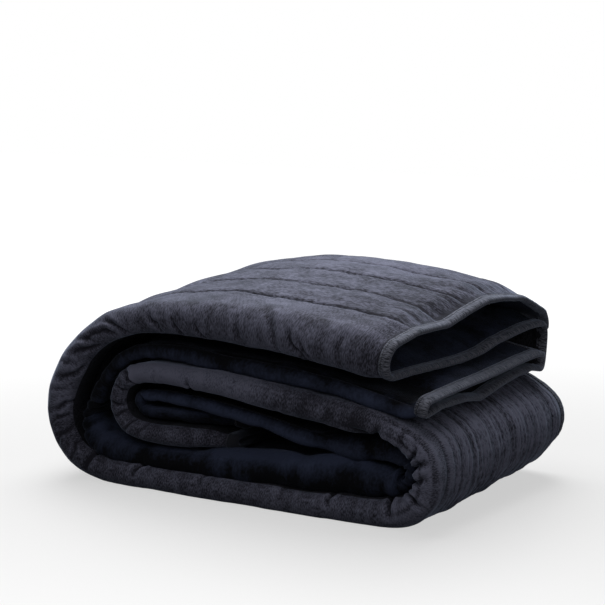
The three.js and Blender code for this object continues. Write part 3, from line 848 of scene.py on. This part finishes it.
def velvet_form(row, step, quilt):
    """Millimetres that the velvet stands out from the plain quilted shape, and how much darker it is painted.
    """
    length, width = length_at(row), width_at(step)
    gap, line = from_sewn_line(step)
    edge = from_edge(row, step)
    top = (1 - smoothstep(row, *TOP_END)) * (1 - smoothstep(step, *TOP_FRONT))
    turn = smoothstep(row, *TURN_START) * (1 - smoothstep(row, *TURN_END))
    taut = np.interp(row, TAUTNESS[:, 0], TAUTNESS[:, 2])
    slack = FULL_TAUT - taut
    sunk = creased(row, step, FACE_CREASES)
    pleats = turn * lumps(length, width, PLEATS)
    strength = LINE_MEAN + LINE_CHANGE * np.sin(LINE_TURN * line)
    strength = strength * ripples(length, RIDGE_WAVES, line, RIDGE_MEAN)
    ridges = taut * strength * bell(gap - RIDGE_OFFSET, GROOVE_HALF)
    gathers = GATHER_SHARE * ripples(length, LINE_GATHERS, line) * np.exp(-gap / GATHER_REACH)
    edge_gathers = (1 - TOP_CALM * top) * ripples(along_edge(row, step), FACE_GATHERS)
    edge_gathers = edge_gathers * np.exp(-edge / EDGE_REACH)
    swell = (1 - smoothstep(step, *SWELL_FRONT)) * smoothstep(edge, *SWELL_RIM)
    swell = np.interp(row, *FACE_SWELL.T) * swell
    height = quilt.ridge * ridges - quilt.groove * slack * bell(gap, GROOVE_HALF)
    height = height + quilt.pucker * (gathers + edge_gathers) + quilt.swell * swell
    height = height + quilt.lump * lumps(length, width, FACE_LUMPS) + quilt.nose * fold_lean(row, step)
    # Painted shade in the grooves, creases and along the binding, painted light on ridges, lips of creases,
    # pleats and the light spot; the brushed patches and strokes are the pile's random tone
    parts = {
        "grooves": slack * bell(gap, GROOVE_SHADOW),
        "ridges": ridges,
        "binding shadow line": bell(edge - BINDING_SHADOW_LINE[0], BINDING_SHADOW_LINE[1]),
        "brushed": lumps(length, width, BRUSHED_PATCHES) * top,
        "painted light spot": spot(row, step, PAINTED_LIGHT_SPOT) * top,
        "painted shade spot": spot(row, step, PAINTED_SHADE_SPOT) * top,
        "pleats": pleats,
        "strokes": lumps(length, width, STROKES) * (1 - top),
        "creases": sunk,
    }
    shade = np.interp(row, *VELVET_PAINTED_SHADE.T) + shade_of(parts, VELVET_SHADES)
    return sunk + PLEAT_HEIGHT * pleats + height / MM, shade


def plush_form(row, step, quilt):
    """The same for the plush, whose darker and lighter places are all painted shade and painted light."""
    length, width = length_at(row), width_at(step)
    sunk = creased(row, step, REVERSE_CREASES)
    lean = fold_lean(row, step)
    crest = bell(step - CREST_STEP, CREST_REACH)
    swollen = crest * np.interp(row, FOLD_DROP[:, 0], np.maximum(0, FOLD_DROP[:, 1]))
    soft = lumps(length, width, PLUSH_LUMPS)
    edge_gathers = ripples(along_edge(row, step), PLUSH_GATHERS) * np.exp(-from_edge(row, step) / EDGE_REACH)
    height = quilt.pucker * edge_gathers - quilt.nose * lean + quilt.crest * swollen
    height = height + PLUSH_LOFT * quilt.lump * soft
    parts = {
        "lean": np.abs(lean),
        "crest": crest,
        "lumps": soft,
        "inside": 1 - smoothstep(step, *NOSE_START) * (1 - smoothstep(step, *NOSE_END)),
        "creases": sunk,
    }
    return sunk + height / MM, np.interp(row, *PLUSH_PAINTED_SHADE.T) + shade_of(parts, PLUSH_SHADES)


def half_thickness(row, step, quilt):
    """Half the filled layer's thickness in millimetres, drawn in along sewn lines and at the bound edge."""
    thick = layer_middle(step, station(row), quilt.loft / MM)[4]
    slack = np.interp(row, TAUTNESS[:, 0], TAUTNESS[:, 1])
    puffed = thick / 2 * (1 - slack * (1 - channel_puff(step)))
    return mix(RIM_HALF, puffed, smoothstep(from_edge(row, step), *RIM))


def quilt_panel(name, side, cut, form, material, quilt):
    """A cut of one of the two cloths, as a grid over the folded sheet."""
    along, spacing = cut
    rows = row_at(np.linspace(PANEL_RIM, STRIP_LENGTH - PANEL_RIM, round(STRIP_LENGTH / along)))[:, None]
    steps = panel_steps(spacing, grooves=side > 0)[None, :]
    relief, shade = form(rows, steps, quilt)
    half = half_thickness(rows, steps, quilt) + relief * smoothstep(from_edge(rows, steps), *RELIEF_RIM)
    points = sheet_points(rows, steps, side, half, quilt.loft / MM)
    faces = grid_faces(*points.shape[:2])
    if side > 0:
        faces = faces[:, ::-1]
    uv = np.stack(np.broadcast_arrays(length_at(rows), width_at(steps)), axis=-1) * MM
    return new_mesh_piece(name, points.reshape(-1, 3), faces, uv.reshape(-1, 2), material, shade)


def perimeter(inset, spacing):
    """Rows and steps round the sheet, inside its edge by an inset in millimetres, and the length along it."""
    low, high = np.array([0, 0]), np.array([STRIP_LENGTH, FLAT_ACROSS[-1]])
    corners = np.array([low, [high[0], low[1]], high, [low[0], high[1]]], float)
    places, lengths, done = [], [], 0
    for start, end in zip(corners, np.roll(corners, -1, axis=0)):
        span = np.abs(end - start).sum()
        count = round(span / spacing)
        share = np.arange(count) / count
        places.append(start + (end - start) * share[:, None])
        lengths.append(done + span * share)
        done += span
    places = np.clip(np.concatenate(places), low + inset, high - inset)
    return row_at(places[:, 0]), step_at(places[:, 1]), np.concatenate(lengths)


def edge_binding(material, binding, quilt):
    """The folded tape round all four edges, painted darker for shade at its inner edge, its stitch line and
    its end inside the roll.
    """
    spacing, width, half = binding.point_spacing / MM, binding.width / MM, binding.thickness / MM / 2
    profile = [(*place, 1) for place in BINDING_SECTION] + [(*place, -1) for place in BINDING_SECTION[-2::-1]]
    rings, flat, shades = [], [], []
    for inset, share, dark, side in profile:
        row, step, length = perimeter(inset * width, spacing)
        ripple = ripples(length, BINDING_RIPPLES, mean=1)
        rings.append(sheet_points(row, step, side, half * share * ripple, quilt.loft / MM))
        flat.append(np.stack([length, np.full_like(length, side * inset * width)], axis=-1) * MM)
        shades.append(dark + smoothstep(row, *PAINTED_SHADE_END))
    points, uv, shade = (np.stack(part, axis=1) for part in (rings, flat, shades))
    faces = grid_faces(*points.shape[:2], closed=True)[:, ::-1]
    points, uv = points.reshape(-1, 3), uv.reshape(-1, 2)
    return new_mesh_piece("edge_binding_tape", points, faces, uv, material, shade)


def binding_stitches(material, binding, quilt):
    """A row of short stitches along the binding, on the face and on the reverse."""
    pitch, half, loft = binding.stitch_pitch / MM, binding.thickness / MM / 2, quilt.loft / MM
    reach, radius = binding.stitch_length / 2, binding.thread / 2
    row, step, _ = perimeter(binding.stitch_inset / MM, pitch)
    place, size = STITCH_RINGS.T[:, :, None, None]
    angles = (np.arange(STITCH_SIDES) / STITCH_SIDES * 2 * np.pi)[:, None]
    stitches = []
    for side in (1, -1):
        centre = sheet_points(row, step, side, half * STITCH_SINK, loft)
        out = centre - sheet_points(row, step, side, 0 * row, loft)
        out /= np.linalg.norm(out, axis=1, keepdims=True)
        along = np.roll(centre, -1, axis=0) - np.roll(centre, 1, axis=0)
        gap = np.linalg.norm(along, axis=1)
        along /= np.maximum(gap, 1e-9)[:, None]
        keep = (gap > STITCH_GAPS[0] * pitch * MM) & (gap < STITCH_GAPS[1] * pitch * MM)
        parts = centre, along, np.cross(out, along), out
        c, a, b, o = (part[keep][:, None, None] for part in parts)
        stitches.append(c + a * reach * place + radius * size * (np.cos(angles) * b + np.sin(angles) * o))
    points = np.concatenate(stitches)
    uv = np.concatenate(np.broadcast_arrays(place * reach, angles * radius), axis=-1)
    ring, k = np.divmod(np.arange((len(STITCH_RINGS) - 1) * STITCH_SIDES), STITCH_SIDES)
    low, after = ring * STITCH_SIDES, (k + 1) % STITCH_SIDES
    face = np.stack([low + k, low + after, low + STITCH_SIDES + after, low + STITCH_SIDES + k], axis=1)
    starts = np.arange(len(points)) * len(STITCH_RINGS) * STITCH_SIDES
    faces = (starts[:, None, None] + face).reshape(-1, 4)
    uv = np.tile(uv.reshape(-1, 2), (len(points), 1))
    return new_mesh_piece("binding_stitches", points.reshape(-1, 3), faces, uv, material)


def place_node(tree, kind, x, y, **inputs):
    """A node at a place in the editor, with values or links for its named inputs."""
    node = tree.nodes.new(kind)
    node.location = (x, y)
    for name, value in inputs.items():
        set_input(tree, node.inputs[name.replace("_", " ")], value)
    return node


def set_input(tree, taken, value):
    if isinstance(value, bpy.types.NodeSocket):
        tree.links.new(value, taken)
    else:
        taken.default_value = value


def maths(tree, operation, x, y, a, b):
    node = place_node(tree, "ShaderNodeMath", x, y)
    node.operation = operation
    set_input(tree, node.inputs[0], a)
    set_input(tree, node.inputs[1], b)
    return node.outputs[0]


def colour_mix(tree, x, y, share, a, b):
    node = place_node(tree, "ShaderNodeMix", x, y)
    node.data_type = "RGBA"
    for name, value in (("Factor", share), ("A", a), ("B", b)):
        set_input(tree, node.inputs[name], value)
    return node.outputs["Result"]


def heather_group():
    """Flecks of light and dark pile with soft brushed patches, darkened by painted shade and lightened by
    painted light: a colour and a height for bump.
    """
    group = bpy.data.node_groups.new("Brushed pile", "ShaderNodeTree")
    for name, way, kind in PILE_SOCKETS:
        group.interface.new_socket(name=name, in_out=way, socket_type="NodeSocket" + kind)
    given = place_node(group, "NodeGroupInput", -1200, 0).outputs
    cloth = given["Cloth"]
    split = place_node(group, "ShaderNodeSeparateXYZ", -1000, 200, Vector=cloth).outputs
    along = maths(group, "DIVIDE", -800, 300, split["X"], given["Fleck width"])
    across = maths(group, "DIVIDE", -800, 150, split["Y"], given["Fleck length"])
    stretched = place_node(group, "ShaderNodeCombineXYZ", -620, 220, X=along, Y=across).outputs[0]
    fleck = place_node(group, "ShaderNodeTexNoise", -440, 220, Vector=stretched, **FLECK_NOISE)
    flecks = place_node(group, "ShaderNodeMapRange", -260, 220, Value=fleck.outputs[0], **FLECK_CONTRAST)
    scale = maths(group, "DIVIDE", -800, -60, 1.0, given["Patch size"])
    patch = place_node(group, "ShaderNodeTexNoise", -440, -60, Vector=cloth, Scale=scale, **PATCH_NOISE)
    patches = place_node(group, "ShaderNodeMapRange", -260, -60, Value=patch.outputs[0], **PATCH_CONTRAST)
    fuzz = place_node(group, "ShaderNodeTexNoise", -440, -320, Vector=cloth, **FUZZ_NOISE).outputs[0]
    both = place_node(group, "ShaderNodeMix", -60, 120, A=patches.outputs[0], B=flecks.outputs[0])
    group.links.new(given["Fleck share"], both.inputs["Factor"])
    both = both.outputs["Result"]
    # Painted shade over 0 and painted light under 0, with the cloth's random tone, move the mix towards the
    # dark or the light flecks
    shaded = maths(group, "SUBTRACT", 140, 60, both, given["Shade"])
    pile = colour_mix(group, 320, 120, shaded, given["Dark"], given["Light"])
    height = maths(group, "ADD", 140, -200, both, fuzz)
    place_node(group, "NodeGroupOutput", 520, 0, Color=pile, Height=height)
    return group


def pile_material(name, light, dark, sheen, pile, sheen_weight, sheen_roughness, bump):
    """A napped cloth. Pile holds the sizes of its flecks and patches, by the group's input names."""
    material = bpy.data.materials.new(name)
    material.use_nodes = True
    tree = material.node_tree
    shader = tree.nodes["Principled BSDF"]
    sheens = {"Sheen Weight": sheen_weight, "Sheen Roughness": sheen_roughness, "Sheen Tint": sheen}
    for key, value in {**PILE_SURFACE, **sheens}.items():
        shader.inputs[key].default_value = value
    cloth = place_node(tree, "ShaderNodeUVMap", -900, 100)
    cloth.uv_map = "cloth"
    # The painted shade and light that each piece carries from point to point
    shade = place_node(tree, "ShaderNodeAttribute", -900, -100)
    shade.attribute_name = "shade"
    group = place_node(tree, "ShaderNodeGroup", -500, 100)
    group.node_tree = bpy.data.node_groups.get("Brushed pile") or heather_group()
    given = {"Cloth": cloth.outputs["UV"], "Shade": shade.outputs["Fac"], "Light": light, "Dark": dark}
    for key, value in {**given, **pile}.items():
        set_input(tree, group.inputs[key], value)
    height = group.outputs["Height"]
    relief = place_node(
        tree, "ShaderNodeBump", -240, -100, Height=height, Strength=bump, Distance=PILE_HEIGHT
    )
    tree.links.new(group.outputs["Color"], shader.inputs["Base Color"])
    tree.links.new(relief.outputs["Normal"], shader.inputs["Normal"])
    return material


def finish_piece(piece, node):
    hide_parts(node)
    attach(piece, "root")


class COMFORTER_OT_face_panel(bpy.types.Operator):
    """Builds the quilted velvet panel that shows on the outside"""

    bl_idname = "comforter.face_panel"
    bl_label = "Velvet face"

    def execute(self, context):
        quilt, finish = context.scene.comforter_quilt, context.scene.comforter_finish
        outside = finish.velvet_light, finish.velvet_dark, finish.velvet_sheen
        lengthwise = pile_material(
            "Velvet brushed lengthwise",
            *outside,
            LENGTHWISE_PILE,
            sheen_weight=0.4,
            sheen_roughness=0.35,
            bump=0.2,
        )
        heathered = pile_material(
            "Heathered velvet",
            *outside,
            CROSSWISE_PILE,
            sheen_weight=0.4,
            sheen_roughness=0.35,
            bump=0.12,
        )
        # The velvet inside the folds gets a dark copy of its pile with little sheen: painted shade
        shaded_fold_velvet = pile_material(
            "Velvet pressed in the folds",
            finish.shaded_fold_light,
            finish.shaded_fold_dark,
            finish.velvet_sheen,
            CROSSWISE_PILE,
            sheen_weight=0.02,
            sheen_roughness=0.35,
            bump=0.3,
        )
        for name, cut, material in (
            ("velvet_top", TOP_CUT, lengthwise),
            ("velvet_front", FRONT_CUT, heathered),
            ("velvet_inside", HIDDEN_CUT, shaded_fold_velvet),
        ):
            piece = quilt_panel(name, 1, cut, velvet_form, material, quilt)
            finish_piece(piece, "quilted_body")
        return {"FINISHED"}


class COMFORTER_OT_reverse_panel(bpy.types.Operator):
    """Builds the plush panel that shows inside the folds"""

    bl_idname = "comforter.reverse_panel"
    bl_label = "Plush reverse"

    def execute(self, context):
        quilt, finish = context.scene.comforter_quilt, context.scene.comforter_finish
        plush = pile_material(
            "Navy plush",
            finish.plush_light_and_highlight,
            finish.plush_dark_and_shade,
            finish.plush_sheen,
            PLUSH_PILE,
            sheen_weight=0.12,
            sheen_roughness=0.3,
            bump=0.5,
        )
        piece = quilt_panel("plush_reverse", -1, PLUSH_CUT, plush_form, plush, quilt)
        finish_piece(piece, "quilted_body")
        return {"FINISHED"}


class COMFORTER_OT_edge_binding(bpy.types.Operator):
    """Builds the folded tape that binds all four edges"""

    bl_idname = "comforter.edge_binding"
    bl_label = "Edge binding"

    def execute(self, context):
        finish = context.scene.comforter_finish
        tape = pile_material(
            "Binding velvet",
            finish.binding_light,
            finish.binding_dark,
            finish.velvet_sheen,
            BINDING_PILE,
            sheen_weight=0.4,
            sheen_roughness=0.4,
            bump=0.1,
        )
        piece = edge_binding(tape, context.scene.comforter_binding, context.scene.comforter_quilt)
        finish_piece(piece, "edge_binding")
        return {"FINISHED"}


class COMFORTER_OT_binding_stitches(bpy.types.Operator):
    """Builds the stitching along the binding"""

    bl_idname = "comforter.binding_stitches"
    bl_label = "Binding stitches"

    def execute(self, context):
        finish = context.scene.comforter_finish
        thread = bpy.data.materials.new("Binding thread")
        thread.use_nodes = True
        tree = thread.node_tree
        shader = tree.nodes["Principled BSDF"]
        shader.inputs["Roughness"].default_value = 0.6
        cloth = place_node(tree, "ShaderNodeUVMap", -900, 0)
        cloth.uv_map = "cloth"
        twist = place_node(
            tree, "ShaderNodeTexWave", -700, 0, Vector=cloth.outputs["UV"], Scale=900.0, Distortion=1.0
        )
        twist.bands_direction = "DIAGONAL"
        shadow = tuple(THREAD_SHADOW * v for v in finish.thread[:3]) + (1,)
        tint = colour_mix(tree, -400, 0, twist.outputs["Fac"], shadow, finish.thread)
        tree.links.new(tint, shader.inputs["Base Color"])
        piece = binding_stitches(thread, context.scene.comforter_binding, context.scene.comforter_quilt)
        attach(piece, "root")
        return {"FINISHED"}


class COMFORTER_OT_studio(bpy.types.Operator):
    """Builds the floor, pale by its painted glow, the backdrop, the soft lights and the camera"""

    bl_idname = "comforter.studio"
    bl_label = "Studio"

    def execute(self, context):
        studio, finish = context.scene.comforter_studio, context.scene.comforter_finish
        self.add_backdrop(finish)
        for name, place, target, side, power in LIGHTS:
            self.add_light(name, place, target, side, getattr(studio, power))
        self.add_world(context, studio.ambient)
        self.add_camera(context, studio)
        context.scene.view_settings.view_transform = "Standard"
        return {"FINISHED"}

    def add_backdrop(self, finish):
        bpy.ops.object.select_all(action="DESELECT")
        bpy.ops.mesh.primitive_plane_add(size=FLOOR_SIZE, location=(0, 0, FLOOR_HEIGHT))
        floor = bpy.context.object
        floor.name = "studio_floor"
        bpy.ops.object.transform_apply(location=True)
        material = bpy.data.materials.new("Pale floor")
        material.use_nodes = True
        shader = material.node_tree.nodes["Principled BSDF"]
        shader.inputs["Base Color"].default_value = finish.floor
        shader.inputs["Roughness"].default_value = 0.6
        shader.inputs["Emission Strength"].default_value = 1.0
        tree = material.node_tree
        # Painted light: the dark floor glows to camera rays alone, so it looks pale while it throws little
        # light back
        place = place_node(tree, "ShaderNodeTexCoord", -900, -200)
        distance = place_node(tree, "ShaderNodeVectorMath", -700, -200)
        distance.operation = "LENGTH"
        painted_glow = place_node(tree, "ShaderNodeMapRange", -500, -200, **FLOOR_PAINTED_GLOW)
        painted_glow.interpolation_type = "SMOOTHSTEP"
        tree.links.new(place.outputs["Object"], distance.inputs[0])
        tree.links.new(distance.outputs["Value"], painted_glow.inputs["Value"])
        rays = place_node(tree, "ShaderNodeLightPath", -500, -500)
        seen = maths(tree, "MULTIPLY", -300, -300, painted_glow.outputs[0], rays.outputs["Is Camera Ray"])
        tree.links.new(seen, shader.inputs["Emission Color"])
        floor.data.materials.append(material)

    def add_light(self, name, place, target, size, power):
        data = bpy.data.lights.new(name, "AREA")
        data.shape, data.size, data.energy = "SQUARE", size, power
        lamp = bpy.data.objects.new(name, data)
        bpy.context.collection.objects.link(lamp)
        lamp.location = place
        lamp.rotation_euler = (Vector(target) - Vector(place)).to_track_quat("-Z", "Y").to_euler()

    def add_world(self, context, ambient):
        world = bpy.data.worlds.new("White room")
        world.use_nodes = True
        tree = world.node_tree
        rays = place_node(tree, "ShaderNodeLightPath", -600, 0)
        seen = place_node(tree, "ShaderNodeMapRange", -300, 0, To_Min=ambient, To_Max=1.0)
        tree.links.new(rays.outputs["Is Camera Ray"], seen.inputs["Value"])
        tree.links.new(seen.outputs[0], tree.nodes["Background"].inputs["Strength"])
        tree.nodes["Background"].inputs["Color"].default_value = (1, 1, 1, 1)
        context.scene.world = world

    def add_camera(self, context, studio):
        data = bpy.data.cameras.new("camera")
        data.sensor_width, data.lens = 36.0, studio.lens
        camera = bpy.data.objects.new("camera", data)
        bpy.context.collection.objects.link(camera)
        a, e = studio.azimuth, studio.elevation
        back = Vector((math.sin(a) * math.cos(e), -math.cos(a) * math.cos(e), math.sin(e)))
        camera.location = Vector(CAMERA_CENTRE) + back * studio.distance
        camera.rotation_euler = (Vector(CAMERA_AIM) - camera.location).to_track_quat("-Z", "Y").to_euler()
        context.scene.camera = camera


class COMFORTER_PT_panel(bpy.types.Panel):
    """Lists the comforter's pieces in the order they are built"""

    bl_label = "Comforter"
    bl_idname = "COMFORTER_PT_panel"
    bl_space_type = "VIEW_3D"
    bl_region_type = "UI"
    bl_category = "Comforter"

    def draw(self, context):
        for operator in OPERATORS:
            self.layout.operator(operator.bl_idname)
        for name, _ in SETTINGS:
            box = self.layout.box()
            group = getattr(context.scene, name)
            for key in group.__annotations__:
                box.prop(group, key)


OPERATORS = (
    COMFORTER_OT_face_panel,
    COMFORTER_OT_reverse_panel,
    COMFORTER_OT_edge_binding,
    COMFORTER_OT_binding_stitches,
    COMFORTER_OT_studio,
)
SETTINGS = (
    ("comforter_quilt", QuiltSettings),
    ("comforter_binding", BindingSettings),
    ("comforter_finish", FinishSettings),
    ("comforter_studio", StudioSettings),
)


def register():
    for name, group in SETTINGS:
        bpy.utils.register_class(group)
        setattr(bpy.types.Scene, name, bpy.props.PointerProperty(type=group))
    for made in (*OPERATORS, COMFORTER_PT_panel):
        bpy.utils.register_class(made)


def unregister():
    for made in (COMFORTER_PT_panel, *reversed(OPERATORS)):
        bpy.utils.unregister_class(made)
    for name, group in reversed(SETTINGS):
        delattr(bpy.types.Scene, name)
        bpy.utils.unregister_class(group)


def main():
    register()
    bpy.ops.comforter.face_panel()
    bpy.ops.comforter.reverse_panel()
    bpy.ops.comforter.edge_binding()
    bpy.ops.comforter.binding_stitches()
    bpy.ops.comforter.studio()


if __name__ == "__main__":
    main()
